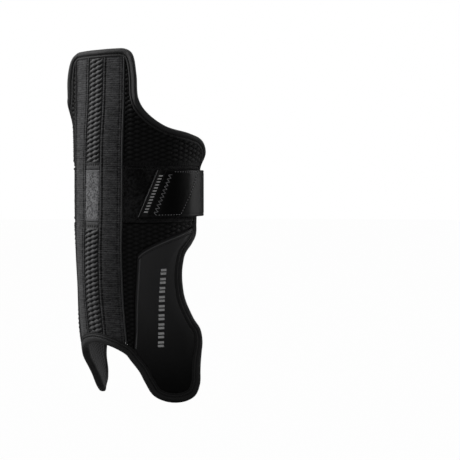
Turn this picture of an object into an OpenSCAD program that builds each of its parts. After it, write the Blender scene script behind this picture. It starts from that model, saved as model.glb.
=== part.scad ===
/* [Overall] */
// Height of the guard, from the bottom of the ankle lobes to the top edge
guard_h = 378; // [360:1:400]
// Half width of the centre mesh strip, measured round the shin
strip_half = 10.5; // [8:0.5:14]
// Width of each ribbed band beside the centre strip
band_w = 25; // [18:0.5:25]

/* [Layers] */
// Thickness of the outer fabrics
skin_t = 1.6; // [1.2:0.1:1.6]
// Thickness of the hard shin shield and ankle cups
shield_t = 1.9; // [1.6:0.1:2.1]
// Thickness of the whole padded wall under the outer fabric
pad_t = 4.8; // [4.6:0.1:5.4]
// Thickness of the lining against the leg
lining_t = 1; // [0.8:0.1:1.3]
// Gap left between neighbouring panels
gap = 0.3; // [0.2:0.05:0.4]
// Gap left between stacked layers
layer_gap = 0.45; // [0.4:0.05:0.5]

/* [Edge binding] */
// Width of the binding round the top tab and the wings
upper_bind_w = 8; // [6:0.5:8]
// Width of the binding round the ankle lobes and the instep arch
lower_bind_w = 10; // [8:0.5:10]
// How far the binding stands proud of the fabrics
bind_proud = 0.7; // [0.4:0.1:1]
// How far the binding wraps round outside the edge of the padding
bind_wrap = 1.4; // [1:0.1:1.6]

/* [Strap] */
// Width of the elastic strap
strap_w = 50; // [40:1:50]
// Height of the strap's lower edge above the lobes
strap_z = 201.5; // [200:0.5:203]
// Thickness of the elastic
elastic_t = 1.5; // [1.4:0.1:1.8]
// Length of elastic sewn down on the left wing
sewn_l = 46; // [30:1:50]
// Angle of the left strap pivot, round the calf from the shin
left_pivot_a = 140; // [138:0.5:142]
// Angle of the right strap pivot, round the calf from the shin
right_pivot_a = 135; // [134:0.5:137]

/* [Hidden] */

// Horizontal sections of the outer face, from the lobes up:
// height, radius of the shin arc, front of the shin, radius of the side arc
forms = [
    [-5, 38, -54, 170],
    [20, 43, -58.5, 180],
    [50, 58, -66, 130],
    [75, 63, -69, 112],
    [125, 52, -75, 100],
    [160, 56, -76, 90],
    [205, 68, -74, 69],
    [255, 71.5, -73, 68],
    [285, 75, -72, 74],
    [320, 91, -69, 78],
    [380, 129, -66, 80]
];
shin_a = 48;     // the shin arc ends at this angle from the front
side_a = 115;    // the side arc ends here and the calf arc starts
per_deg = PI / 180;

// Outer edge of the right half, from the top of the shin round to the instep arch:
// distance round the surface from the shin line, height above or below the top edge
arch_top = -310.5;                 // the instep arch at the shin line
arch_drop = 0.009;                 // how fast the arch falls to the sides
edge = concat([
    [0, 0], [22, 0], [37, -1], [46, -8.5], [50.2, -27], [52.2, -52], [62, -68], [84, -82], [114, -88.5],
    [134, -94.5], [146, -106], [149, -122], [142, -150], [139, -184],
    [136, -196.5], [125, -206.5], [112.5, -218], [107.5, -238], [109, -264], [116.5, -285.5], [124.5, -299],
    [125.2, -312.4], [120.4, -326], [112.6, -344], [107, -360], [99.2, -371.5], [85, -377.3], [70, -376.3],
    [57.4, -369], [51, -355.4], [47, -341.2], [40, -328.6]
], [for (s = [34, 19, 0]) [s, arch_top - arch_drop * s ^ 2]]);
wrist = 13;                       // the wing binding meets the ankle binding at this edge point
foot = len(edge) - 1;
lobe_front = 29;                  // from here on the outline runs up round the instep arch

band_end = strip_half + band_w;   // outer side of the ribbed bands
seam_w = 2.6;                     // width of the piped seam
side_start = band_end + seam_w;   // the side fabrics start here
tab_flare = 5.5;                  // how far the tab's side edges turn out
wing_flare = 4;                   // how far the wings' rear corners turn out
lobe_flare = 9;                   // how far the lobes' rear corners turn out
patch_z = [196.5, 251.5];         // front loop patch
loop_z = [196, 255.5];            // loop panels under the strap
strap_mid = strap_z + strap_w / 2;
strap_form = 255;                 // the strap keeps the section of the wing at this height
strap_dip = [0.9, 3.2];            // the strap runs this much closer to the calf past the hooks and the wings

// ---- smooth interpolation ----
function slope(list, i, c) = (list[i + 1][c] - list[i][c]) / (list[i + 1][0] - list[i][0]);
function knot(list, i, c) =
    i == 0 ? slope(list, 0, c)
    : i == len(list) - 1 ? slope(list, i - 1, c)
    : let (a = slope(list, i - 1, c), b = slope(list, i, c)) a * b <= 0 ? 0 : 2 * a * b / (a + b);
function span_of(list, z, i = 0) = i >= len(list) - 2 || z < list[i + 1][0] ? i : span_of(list, z, i + 1);
function form_at(z, c) =
    let (i = span_of(forms, z), h = forms[i + 1][0] - forms[i][0], t = (z - forms[i][0]) / h)
    (2 * t ^ 3 - 3 * t ^ 2 + 1) * forms[i][c] + (t ^ 3 - 2 * t ^ 2 + t) * h * knot(forms, i, c)
    + (3 * t ^ 2 - 2 * t ^ 3) * forms[i + 1][c] + (t ^ 3 - t ^ 2) * h * knot(forms, i + 1, c);

// Smooth curve through a list of points, t counts the points; a mirrored list goes on as its own reflection
function ghost(list, i, mirrored) =
    let (n = len(list) - 1, k = i < 0 ? (mirrored ? -i : 0) : i > n ? (mirrored ? 2 * n - i : n) : i)
    mirrored && (i < 0 || i > n) ? [-list[k][0], list[k][1]] : list[k];
function through(list, t, mirrored = false) =
    let (i = max(0, min(floor(t), len(list) - 2)), u = t - i,
         a = ghost(list, i - 1, mirrored), b = list[i], c = list[i + 1], d = ghost(list, i + 2, mirrored))
    0.5 * (2 * b + (c - a) * u + (2 * a - 5 * b + 4 * c - d) * u ^ 2 + (3 * b - a - 3 * c + d) * u ^ 3);

// ---- the curved surface ----
// Direction that the section faces, s millimetres round from the shin line
function facing(s, z) =
    let (r1 = form_at(z, 1), r2 = form_at(z, 3), l1 = r1 * shin_a * per_deg,
         l2 = r2 * (side_a - shin_a) * per_deg, n = abs(s))
    sign(s) * (n <= l1 ? n / r1 / per_deg
        : n <= l1 + l2 ? shin_a + (n - l1) / r2 / per_deg
        : side_a + (n - l1 - l2) / calf_r(r1, r2) / per_deg);
function calf_r(r1, r2) = (r1 * sin(shin_a) + r2 * (sin(side_a) - sin(shin_a))) / sin(side_a);
// Point on the section that faces angle a, d outwards from the surface, lifted to height z
function at_angle(a, form_z, d, z) =
    let (r1 = form_at(form_z, 1), yf = form_at(form_z, 2), r2 = form_at(form_z, 3), n = abs(a),
         a1 = min(n, shin_a), a2 = max(shin_a, min(n, side_a)), a3 = max(side_a, n),
         x = r1 * sin(a1) + r2 * (sin(a2) - sin(shin_a)) + calf_r(r1, r2) * (sin(a3) - sin(side_a)),
         y = yf + r1 * (1 - cos(a1)) - r2 * (cos(a2) - cos(shin_a))
             - calf_r(r1, r2) * (cos(a3) - cos(side_a)))
    [sign(a) * (x + d * sin(n)), y - d * cos(n), z];
// The tab's sides, the wings' rear corners and the lobes turn outwards
function ease(x) = let (t = max(0, min(1, x))) t * t * (3 - 2 * t);
function flare(s, z) =
    let (tab = ease((z - 303) / 25), wing = ease((z - 252) / 20))
    tab_flare * tab * min(1, max(0, (abs(s) - 36) / 15)) ^ 2
    + wing_flare * wing * (1 - tab) * (max(0, abs(s) - 110) / 37) ^ 2
    + lobe_flare * ease((75 - z) / 75) * ease((abs(s) - 58) / 42);
function spot(p, d) = at_angle(facing(p[0], p[1]), p[1], d + flare(p[0], p[1]), p[1]);

// The strap leaves the wing's rear edge and lies closer to the calf than the wing's own curve
function strap_spot(a, d, z) =
    let (dip = strap_dip[0] * ease((abs(a) - 91) / 12) + strap_dip[1] * ease((abs(a) - 123) / 13))
    at_angle(a, strap_form, d - dip, z);

// ---- outline helpers ----
function rim_raw(t) = let (p = through(edge, t, true)) [p[0], guard_h + p[1]];
function rim_dir(t) = let (a = rim_raw(t - 0.1), b = rim_raw(t + 0.1)) (b - a) / norm(b - a);
// Point of the outline, moved in from the edge
function rim(t, inset) = let (d = rim_dir(t), p = rim_raw(t)) [p[0] + d[1] * inset, p[1] - d[0] * inset];
// Where the moved outline reaches a value of coordinate c, between lo and hi
function seek(c, value, lo, hi, inset, n = 18) =
    let (m = (lo + hi) / 2, rising = rim(hi, inset)[c] > rim(lo, inset)[c])
    n == 0 ? m
    : (rim(m, inset)[c] < value) == rising ? seek(c, value, m, hi, inset, n - 1)
    : seek(c, value, lo, m, inset, n - 1);
function mix(a, b, t) = a + (b - a) * t;

wing_in = upper_bind_w + layer_gap;     // the wing's layers stop this far inside the edge
ankle_in = lower_bind_w + layer_gap;    // the ankle's layers stop this far inside the edge
// Height of the instep arch and of the top edge, inside the binding
function arch_z(s) = rim(seek(0, abs(s), lobe_front, foot, ankle_in), ankle_in)[1];
function top_z(s) = rim(seek(0, abs(s), 0, 5, wing_in), wing_in)[1];

// ---- solids on the surface ----
// Closed wall between two depths over a grid of [distance round, height] points.
// With form_z the wall keeps the section of that height all the way up.
module wall(grid, nu, nv, out, in, flip = 1, form_z = undef) {
    function place(p, d) =
        let (q = is_undef(form_z) ? spot(p, d) : strap_spot(facing(p[0], form_z), d, p[1]))
        [flip * q[0], q[1], q[2]];
    n = len(grid);
    w = nu + 1;
    points = concat([for (p = grid) place(p, out)], [for (p = grid) place(p, in)]);
    faces = concat(
        [for (j = [0:nv - 1]) for (i = [0:nu - 1]) let (k = j * w + i)
            each [[k, k + w, k + w + 1], [k, k + w + 1, k + 1]]],
        [for (j = [0:nv - 1]) for (i = [0:nu - 1]) let (k = n + j * w + i)
            each [[k, k + w + 1, k + w], [k, k + 1, k + w + 1]]],
        [for (i = [0:nu - 1]) let (m = nv * w + i)
            each [[i, i + 1, n + i + 1], [i, n + i + 1, n + i],
                  [m, n + m + 1, m + 1], [m, n + m, n + m + 1]]],
        [for (j = [0:nv - 1]) let (k = j * w, m = k + nu)
            each [[k, n + k + w, k + w], [k, n + k, n + k + w],
                  [m, m + w, n + m + w], [m, n + m + w, n + m]]]);
    polyhedron(points, flip > 0 ? faces : [for (f = faces) [f[2], f[1], f[0]]], convexity = 8);
}

// Wall over a patch given by its four edge curves
module patch(left, right, bottom, top, out, in, nu, nv, flip = 1, form_z = undef) {
    grid = [for (j = [0:nv]) for (i = [0:nu])
        let (u = i / nu, v = j / nv)
        (1 - v) * bottom(u) + v * top(u) + (1 - u) * left(v) + u * right(v)
        - (1 - u) * (1 - v) * bottom(0) - u * (1 - v) * bottom(1)
        - (1 - u) * v * top(0) - u * v * top(1)];
    wall(grid, nu, nv, out, in, flip, form_z);
}

// Piece of the front between two distances round and two height curves
module front_piece(s0, s1, z0, z1, out, in, nu, nv) {
    wall([for (j = [0:nv]) for (i = [0:nu])
        let (s = mix(s0, s1, i / nu)) [s, mix(z0(s), z1(s), j / nv)]], nu, nv, out, in);
}

// Piece of the wing, from the piped seam to the rear edge, above height z0
module wing_piece(z0, out, in, nu, nv, flip, inset = wing_in, s0 = side_start) {
    crown = seek(0, s0 + 0.6, 2.5, 5, inset);     // the tab's side is just wide enough from here down
    low = seek(1, z0, 11, wrist + 1, inset);
    patch(function(v) [s0, mix(z0, rim(crown, inset)[1] + 0.6, v)],
          function(v) rim(mix(low, crown, v), inset),
          function(u) [mix(s0, rim(low, inset)[0], u), z0],
          function(u) mix([s0, rim(crown, inset)[1] + 0.6], rim(crown, inset), u),
          out, in, nu, nv, flip);
}

// Piece of the ankle, from the piped seam to the rear edge, below height z1
heel = 25;                                        // the lobe's rear corner on the outline
module ankle_piece(z1, out, in, nu, nv, flip, inset = ankle_in, s0 = side_start) {
    high = seek(1, z1, wrist - 1, wrist + 2, inset);
    front = seek(0, s0, lobe_front, foot, inset);
    patch(function(v) [s0, mix(rim(front, inset)[1], z1, v)],
          function(v) rim(mix(heel, high, v), inset),
          function(u) rim(mix(front, heel, u), inset),
          function(u) [mix(s0, rim(high, inset)[0], u), z1],
          out, in, nu, nv, flip);
}

// Front and top edges of the smooth ankle cover
cover_foot = seek(0, 44, lobe_front, foot, ankle_in);
cover_high = seek(1, 189, wrist - 1, wrist + 2, ankle_in);
cover_front = [rim(cover_foot, ankle_in), [46.8, 79], [49.2, 104], [52, 131], [54.5, 160.5]];
cover_top = [cover_front[4], [65, 168], [88.5, 177.8], rim(cover_high, ankle_in)];
module cover_piece(out, in, nu, nv, flip, pull = 0) {
    inset = ankle_in + pull;
    patch(function(v) through(cover_front, 4 * v) + [pull, mix(pull, -pull, v)],
          function(v) rim(mix(heel, cover_high, v), inset) - [0, v * pull],
          function(u) rim(mix(cover_foot, heel, u), inset),
          function(u) through(cover_top, 3 * u) + [mix(pull, -pull, u), -pull],
          out, in, nu, nv, flip);
}

// Rounded binding along the outline; each stop is [edge point, side]
module bead(stops, w) {
    out = bind_proud;
    in = -skin_t - pad_t - lining_t - layer_gap - bind_proud;
    soft = 1.6;
    half = (w + bind_wrap) / 2;
    ring = [[-half, out - soft], [-half + soft, out], [half - soft, out], [half, out - soft],
            [half, in + soft], [half - soft, in], [-half + soft, in], [-half, in + soft]];
    m = len(ring);
    n = len(stops);
    points = [for (stop = stops) for (r = ring)
        let (q = spot(rim(stop[0], w - half + r[0]), r[1])) [stop[1] * q[0], q[1], q[2]]];
    polyhedron(points, concat(
        [[for (i = [0:m - 1]) i]],
        [[for (i = [0:m - 1]) (n - 1) * m + m - 1 - i]],
        [for (j = [0:n - 2]) for (i = [0:m - 1]) let (k = j * m + i, l = j * m + (i + 1) % m)
            each [[k, k + m, l + m], [k, l + m, l]]]), convexity = 10);
}

// ---- strap helpers ----
function strap_r(c) = form_at(strap_form, c);
function s_at(a) =
    strap_r(1) * shin_a * per_deg + strap_r(3) * (side_a - shin_a) * per_deg
    + calf_r(strap_r(1), strap_r(3)) * (a - side_a) * per_deg;
hook_in = 0.65;                                   // the hook pad clears the loop panel by this much
hook_t = 0.9;
elastic_in = hook_in + hook_t + layer_gap;
cover_in = elastic_in + elastic_t + layer_gap;
cover_t = 0.9;
label_in = cover_in + cover_t + layer_gap;
label_t = 1;
label_w = 9.6;                                    // width of the slanted pull tab
pivot_gap = 2.4;                                  // free play on each side of a strap pivot
tip_low = 54.5;                                   // the strap's slanted tip, lower corner
tip_high = 74;                                    // the strap's slanted tip, upper corner

// Length of strap between two slanted or straight ends, bottom corner and top corner of each
module strap_piece(low0, high0, low1, high1, out, in, edge_in, nu, flip = 1) {
    z0 = strap_z + edge_in;
    z1 = strap_z + strap_w - edge_in;
    patch(function(v) [mix(low0, high0, v), mix(z0, z1, v)],
          function(v) [mix(low1, high1, v), mix(z0, z1, v)],
          function(u) [mix(low0, low1, u), z0], function(u) [mix(high0, high1, u), z1],
          out, in, nu, 4, flip, strap_form);
}

// ---- lining, foam and shields ----
foam_in = -skin_t - pad_t;
lining_out = foam_in - layer_gap;
lining_in = lining_out - lining_t;
under_skin = -skin_t - layer_gap;
under_shield = under_skin - shield_t - layer_gap;

module shin_lining() {
    color("dimgray") front_piece(-side_start + gap, side_start - gap, function(s) arch_z(s),
        function(s) top_z(s), lining_out, lining_in, 8, 16);
}
module wing_lining(flip) {
    color("dimgray") wing_piece(loop_z[0] + gap, lining_out, lining_in, 10, 20, flip);
}
module wing_lining_left() { wing_lining(-1); }
module wing_lining_right() { wing_lining(1); }
module ankle_lining(flip) { color("dimgray") ankle_piece(loop_z[0], lining_out, lining_in, 12, 15, flip); }
module ankle_lining_left() { ankle_lining(-1); }
module ankle_lining_right() { ankle_lining(1); }

module shin_foam() {
    color("slategray") front_piece(-side_start + gap, side_start - gap, function(s) arch_z(s),
        function(s) top_z(s), under_shield, foam_in, 8, 16);
}
module wing_foam(flip) { color("slategray") wing_piece(loop_z[0] + gap, under_skin, foam_in, 10, 20, flip); }
module wing_foam_left() { wing_foam(-1); }
module wing_foam_right() { wing_foam(1); }
module ankle_foam(flip) {
    color("slategray") ankle_piece(loop_z[0], under_shield, foam_in, 12, 15, flip, ankle_in + 0.6);
}
module ankle_foam_left() { ankle_foam(-1); }
module ankle_foam_right() { ankle_foam(1); }

module shin_shield() {
    color("gray") front_piece(-side_start + 4, side_start - 4, function(s) arch_z(s) + 8,
        function(s) top_z(s) - 7, under_skin, under_skin - shield_t, 8, 16);
}
module ankle_cup(flip) { color("gray") cover_piece(under_skin, under_skin - shield_t, 11, 14, flip, 4); }
module ankle_cup_left() { ankle_cup(-1); }
module ankle_cup_right() { ankle_cup(1); }

// ---- outer fabrics ----
module centre_piece(z0, z1, out = 0) {
    front_piece(-strip_half, strip_half, z0, z1, out, -skin_t, 3, 9);
}
module centre_mesh_upper() {
    color("#262626") centre_piece(function(s) patch_z[1] + gap, function(s) top_z(s));
}
module centre_mesh_lower() {
    color("#262626") centre_piece(function(s) arch_z(s), function(s) patch_z[0] - gap);
}
module front_loop_patch() {
    color("#5a5a5a") front_piece(-strip_half, strip_half, function(s) patch_z[0], function(s) patch_z[1],
        0.5, -skin_t, 3, 3);
}
module rib_band(side) {
    a = side > 0 ? strip_half + gap : -band_end;
    color("#303030") front_piece(a, a + band_w - gap, function(s) arch_z(s), function(s) top_z(s),
        0, -skin_t, 4, 16);
}
module rib_band_left() { rib_band(-1); }
module rib_band_right() { rib_band(1); }
module seam_piping(side) {
    a = side > 0 ? band_end + gap : -side_start + gap;
    color("#0c0c0c") front_piece(a, a + seam_w - 2 * gap, function(s) arch_z(s) + gap,
        function(s) top_z(s) - gap, 0.9, -skin_t, 1, 18);
}
module seam_piping_left() { seam_piping(-1); }
module seam_piping_right() { seam_piping(1); }

module wing_mesh(flip) { color("#1c1c1c") wing_piece(loop_z[1] + gap, 0, -skin_t, 10, 16, flip); }
module wing_mesh_left() { wing_mesh(-1); }
module wing_mesh_right() { wing_mesh(1); }
module loop_panel(flip) {
    low = seek(1, loop_z[0], 11, wrist + 1, wing_in);
    high = seek(1, loop_z[1], 11, wrist, wing_in);
    color("#3a3a3a") patch(
        function(v) [side_start, mix(loop_z[0], loop_z[1], v)],
        function(v) rim(mix(low, high, v), wing_in),
        function(u) [mix(side_start, rim(low, wing_in)[0], u), loop_z[0]],
        function(u) [mix(side_start, rim(high, wing_in)[0], u), loop_z[1]],
        0, -skin_t, 10, 3, flip);
}
module loop_panel_left() { loop_panel(-1); }
module loop_panel_right() { loop_panel(1); }
module calf_mesh(flip) {
    turn = 7 / 12;                                // both long edges turn the corner here
    z1 = loop_z[0] - gap;
    high = seek(1, z1, wrist - 1, wrist + 2, ankle_in);
    low = seek(1, cover_top[3][1] + 1.5, wrist - 1, wrist + 2, ankle_in);
    front = seek(0, side_start, lobe_front, foot, ankle_in);
    near = seek(0, cover_front[0][0] - gap, lobe_front, foot, ankle_in);
    color("#1c1c1c") patch(
        function(v) v < turn ? mix(rim(front, ankle_in), [side_start, z1], v / turn)
            : mix([side_start, z1], rim(high, ankle_in), (v - turn) / (1 - turn)),
        function(v) v < turn ? through(cover_front, 4 * v / turn) + [-gap, gap * v / turn]
            : through(cover_top, 3 * (v - turn) / (1 - turn)) + [0, 1.5],
        function(u) rim(mix(front, near, u), ankle_in),
        function(u) rim(mix(high, low, u), ankle_in),
        0, -skin_t, 2, 24, flip);
}
module calf_mesh_left() { calf_mesh(-1); }
module calf_mesh_right() { calf_mesh(1); }
module ankle_cover(flip) { color("#0a0a0a") cover_piece(0.4, -skin_t, 11, 14, flip); }
module ankle_cover_left() { ankle_cover(-1); }
module ankle_cover_right() { ankle_cover(1); }

// ---- edge binding ----
step = 1 / 3;
module upper_binding() {
    run = [for (t = [-wrist + 0.02:step:wrist - 0.02]) [abs(t), t < 0 ? -1 : 1]];
    color("#101010") bead(run, upper_bind_w);
}
module lower_binding() {
    run = [for (i = [0:57]) wrist + 0.03 + (foot - wrist - 0.03) * i / 57];
    color("#080808") bead(concat([for (t = run) [t, 1]], [for (i = [56:-1:0]) [run[i], -1]]), lower_bind_w);
}

// ---- strap ----
module strap_root() {
    a = s_at(left_pivot_a) - pivot_gap;
    b = s_at(side_a) - sewn_l;
    color("#161616") strap_piece(b, b, a, a, elastic_in + elastic_t, elastic_in, 0, 14, -1);
}
module strap_anchor() {
    b = s_at(side_a) - sewn_l - 3;
    a = b + sewn_l - 4;
    color("#0c0c0c") strap_piece(b, b, a, a, cover_in + cover_t, cover_in, 1, 8, -1);
}
module strap_band() {
    right = right_pivot_a + pivot_gap / strap_r(3) / per_deg;
    left = 360 - left_pivot_a - pivot_gap / strap_r(3) / per_deg;
    n = 18;
    function line(d) = [for (i = [0:n])
        let (a = mix(right, left, i / n), q = strap_spot(a > 180 ? a - 360 : a, d, 0)) [q[0], q[1]]];
    inner = line(elastic_in);
    color("#161616") translate([0, 0, strap_z]) linear_extrude(height = strap_w)
        polygon(concat(line(elastic_in + elastic_t), [for (i = [n:-1:0]) inner[i]]));
}
module strap_tail() {
    a = s_at(right_pivot_a) - pivot_gap;
    color("#161616") strap_piece(tip_low + 4, tip_high + 4, a, a, elastic_in + elastic_t, elastic_in, 0, 22);
}
module hook_pad() {
    a = s_at(88);
    color("#4a4a4a") strap_piece(tip_low + 2, tip_high + 2, a, a, hook_in + hook_t, hook_in, 2, 18);
}
module strap_cover() {
    a = s_at(right_pivot_a) - 8;
    color("#0c0c0c") strap_piece(tip_low, tip_high, a, a, cover_in + cover_t, cover_in, 0, 22);
}
module pull_label() {
    color("#050505") strap_piece(tip_low - 1, tip_high - 1, tip_low - 1 + label_w, tip_high - 1 + label_w,
        label_in + label_t, label_in, -0.5, 4);
}

shin_lining();
wing_lining_left();
wing_lining_right();
ankle_lining_left();
ankle_lining_right();
shin_foam();
wing_foam_left();
wing_foam_right();
ankle_foam_left();
ankle_foam_right();
shin_shield();
ankle_cup_left();
ankle_cup_right();
centre_mesh_upper();
centre_mesh_lower();
front_loop_patch();
rib_band_left();
rib_band_right();
seam_piping_left();
seam_piping_right();
wing_mesh_left();
wing_mesh_right();
loop_panel_left();
loop_panel_right();
calf_mesh_left();
calf_mesh_right();
ankle_cover_left();
ankle_cover_right();
upper_binding();
lower_binding();
strap_anchor();
strap_root();
strap_band();
strap_tail();
hook_pad();
strap_cover();
pull_label();
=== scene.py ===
import math
import bpy
import numpy as np
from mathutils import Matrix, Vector


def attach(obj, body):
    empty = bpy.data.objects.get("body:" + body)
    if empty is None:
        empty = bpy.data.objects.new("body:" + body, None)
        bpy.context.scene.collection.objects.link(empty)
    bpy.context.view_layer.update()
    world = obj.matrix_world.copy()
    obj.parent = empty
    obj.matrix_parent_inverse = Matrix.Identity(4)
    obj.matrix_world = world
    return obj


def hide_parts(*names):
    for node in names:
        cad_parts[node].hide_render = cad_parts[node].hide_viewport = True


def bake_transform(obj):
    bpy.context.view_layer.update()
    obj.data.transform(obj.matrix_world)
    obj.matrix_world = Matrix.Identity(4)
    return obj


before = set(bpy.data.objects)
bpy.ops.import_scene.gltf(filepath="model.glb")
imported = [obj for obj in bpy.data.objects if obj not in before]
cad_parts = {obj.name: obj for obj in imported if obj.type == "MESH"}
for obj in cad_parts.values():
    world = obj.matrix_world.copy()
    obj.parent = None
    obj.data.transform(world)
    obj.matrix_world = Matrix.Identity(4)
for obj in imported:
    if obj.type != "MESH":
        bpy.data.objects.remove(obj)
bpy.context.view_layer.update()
bpy.ops.object.select_all(action="DESELECT")
print("frame loaded:", len(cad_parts), "nodes")

# the leg shape that every cloth follows, in millimetres
shape = {
    # height, radius of the shin arc, front of the shin, radius of the side arc
    "forms": [(-5, 38, -54, 170), (20, 43, -58.5, 180), (50, 58, -66, 130), (75, 63, -69, 112),
              (125, 52, -75, 100), (160, 56, -76, 90), (205, 68, -74, 69), (255, 71.5, -73, 68),
              (285, 75, -72, 74), (320, 91, -69, 78), (380, 129, -66, 80)],
    "shinTurn": math.radians(48),
    "sideTurn": math.radians(115),
    "tabFlare": 5.5,
    "wingFlare": 4.0,
    "lobeFlare": 9.0,
    # the strap comes closer to the calf twice: how much, from which facing, over how many degrees
    "strapDips": ((0.9, 91, 12), (3.2, 123, 13)),
    "height": 378.0,
    "archTop": -310.5,
    "archDrop": 0.009,
    # distance round from the shin line, height below the top edge
    "edge": [(0, 0), (22, 0), (37, -1), (46, -8.5), (50.2, -27), (52.2, -52), (62, -68), (84, -82),
             (114, -88.5), (134, -94.5), (146, -106), (149, -122), (142, -150), (139, -184),
             (136, -196.5), (125, -206.5), (112.5, -218), (107.5, -238), (109, -264), (116.5, -285.5),
             (124.5, -299), (125.2, -312.4), (120.4, -326), (112.6, -344), (107, -360), (99.2, -371.5),
             (85, -377.3), (70, -376.3), (57.4, -369), (51, -355.4), (47, -341.2), (40, -328.6)],
    "wrist": 13,
    "heel": 25,
    "lobeFront": 29,
}
layers = {
    "skin": 1.6, "shield": 1.9, "pad": 4.8, "lining": 1.0, "gap": 0.45, "side": 0.3,
    "upperWidth": 8.0, "lowerWidth": 10.0, "stripHalf": 10.5, "bandEnd": 35.5, "sideStart": 38.1,
    "patchZ": (196.5, 251.5), "loopZ": (196.0, 255.5),
}
layers["wingIn"] = layers["upperWidth"] + layers["gap"]
layers["ankleIn"] = layers["lowerWidth"] + layers["gap"]
foamBack = -layers["skin"] - layers["pad"]
liningFront = foamBack - layers["gap"]
liningBack = liningFront - layers["lining"]

formTable = np.array(shape["forms"], float)


def knotSlopes(column):
    z, v = formTable[:, 0], formTable[:, column]
    step = np.diff(v) / np.diff(z)
    inner = np.where(step[:-1] * step[1:] <= 0, 0.0,
                     2 * step[:-1] * step[1:] / np.where(step[:-1] + step[1:] == 0, 1, step[:-1] + step[1:]))
    return np.concatenate([[step[0]], inner, [step[-1]]])


formSlopes = {c: knotSlopes(c) for c in (1, 2, 3)}


def formAt(z, column):
    zs, v, m = formTable[:, 0], formTable[:, column], formSlopes[column]
    i = np.clip(np.searchsorted(zs, z, side="right") - 1, 0, len(zs) - 2)
    h = zs[i + 1] - zs[i]
    t = (z - zs[i]) / h
    return ((2 * t**3 - 3 * t**2 + 1) * v[i] + (t**3 - 2 * t**2 + t) * h * m[i]
            + (3 * t**2 - 2 * t**3) * v[i + 1] + (t**3 - t**2) * h * m[i + 1])


def ease(x):
    t = np.clip(x, 0, 1)
    return t * t * (3 - 2 * t)


def flare(s, z):
    n = np.abs(s)
    tab = ease((z - 303) / 25)
    wing = ease((z - 252) / 20)
    return (shape["tabFlare"] * tab * np.clip((n - 36) / 15, 0, 1) ** 2
            + shape["wingFlare"] * wing * (1 - tab) * (np.maximum(0, n - 110) / 37) ** 2
            + shape["lobeFlare"] * ease((75 - z) / 75) * ease((n - 58) / 42))


def spot(s, z, d, form=None):
    s, z, d = np.broadcast_arrays(np.asarray(s, float), np.asarray(z, float), np.asarray(d, float))
    f = z if form is None else np.full_like(z, form)
    r1, front, r2 = formAt(f, 1), formAt(f, 2), formAt(f, 3)
    a1, a2 = shape["shinTurn"], shape["sideTurn"]
    n = np.abs(s)
    l1, l2 = r1 * a1, r2 * (a2 - a1)
    r3 = (r1 * math.sin(a1) + r2 * (math.sin(a2) - math.sin(a1))) / math.sin(a2)
    a = np.where(n <= l1, n / r1, np.where(n <= l1 + l2, a1 + (n - l1) / r2, a2 + (n - l1 - l2) / r3))
    b1, b2, b3 = np.minimum(a, a1), np.clip(a, a1, a2), np.maximum(a, a2)
    x = r1 * np.sin(b1) + r2 * (np.sin(b2) - math.sin(a1)) + r3 * (np.sin(b3) - math.sin(a2))
    y = front + r1 * (1 - np.cos(b1)) - r2 * (np.cos(b2) - math.cos(a1)) - r3 * (np.cos(b3) - math.cos(a2))
    if form is None:
        d = d + flare(s, z)
    else:
        for dip, start, over in shape["strapDips"]:
            d = d - dip * ease((np.degrees(a) - start) / over)
    sign = np.where(s < 0, -1.0, 1.0)
    return np.stack([sign * (x + d * np.sin(a)), y - d * np.cos(a), z], -1) / 1000


archPoints = [(s, shape["archTop"] - shape["archDrop"] * s * s) for s in (34, 19, 0)]
edgeList = np.array(shape["edge"] + archPoints, float)
foot = len(edgeList) - 1
edgeGhost = np.vstack([edgeList[1] * (-1, 1), edgeList, edgeList[foot - 1] * (-1, 1)])


def curve(points, t):
    p = np.asarray(points, float)
    i = np.clip(np.floor(t).astype(int), 0, len(p) - 4)
    u = (t - i)[..., None]
    a, b, c, d = p[i], p[i + 1], p[i + 2], p[i + 3]
    return 0.5 * (2 * b + (c - a) * u + (2 * a - 5 * b + 4 * c - d) * u**2 + (3 * b - a - 3 * c + d) * u**3)


def through(points, t):
    p = np.asarray(points, float)
    return curve(np.vstack([p[0], p, p[-1]]), np.asarray(t, float))


def outline(t):
    return curve(edgeGhost, np.asarray(t, float)) + (0, shape["height"])


def rim(t, inset):
    t = np.asarray(t, float)
    step = outline(t + 0.1) - outline(t - 0.1)
    step = step / np.linalg.norm(step, axis=-1, keepdims=True)
    turned = np.stack([step[..., 1], -step[..., 0]], -1)
    return outline(t) + turned * np.asarray(inset, float)[..., None]


def seek(axis, value, low, high, inset):
    rising = rim(high, inset)[axis] > rim(low, inset)[axis]
    for turn in range(22):
        mid = (low + high) / 2
        if (rim(mid, inset)[axis] < value) == rising:
            low = mid
        else:
            high = mid
    return mid


def along(a, b, n):
    t = np.linspace(0, 1, n + 1)[:, None]
    return np.asarray(a, float) * (1 - t) + np.asarray(b, float) * t


def rimRun(t0, t1, inset, n):
    return rim(np.linspace(t0, t1, n + 1), inset)


def fillPatch(left, right, bottom, top):
    v = np.linspace(0, 1, len(left))[:, None, None]
    u = np.linspace(0, 1, len(bottom))[None, :, None]
    return ((1 - v) * bottom[None] + v * top[None] + (1 - u) * left[:, None] + u * right[:, None]
            - (1 - u) * (1 - v) * bottom[0] - u * (1 - v) * bottom[-1]
            - (1 - u) * v * top[0] - u * v * top[-1])


def edgeRoom(grid):
    # distance over the cloth to its nearest border
    across = np.hypot(*np.moveaxis(np.diff(grid, axis=1), -1, 0))
    up = np.hypot(*np.moveaxis(np.diff(grid, axis=0), -1, 0))
    fromLeft = np.pad(np.cumsum(across, 1), ((0, 0), (1, 0)))
    fromLow = np.pad(np.cumsum(up, 0), ((1, 0), (0, 0)))
    sideways = np.minimum(fromLeft, fromLeft[:, -1:] - fromLeft)
    upwards = np.minimum(fromLow, fromLow[-1:] - fromLow)
    return np.minimum(sideways, upwards)


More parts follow.
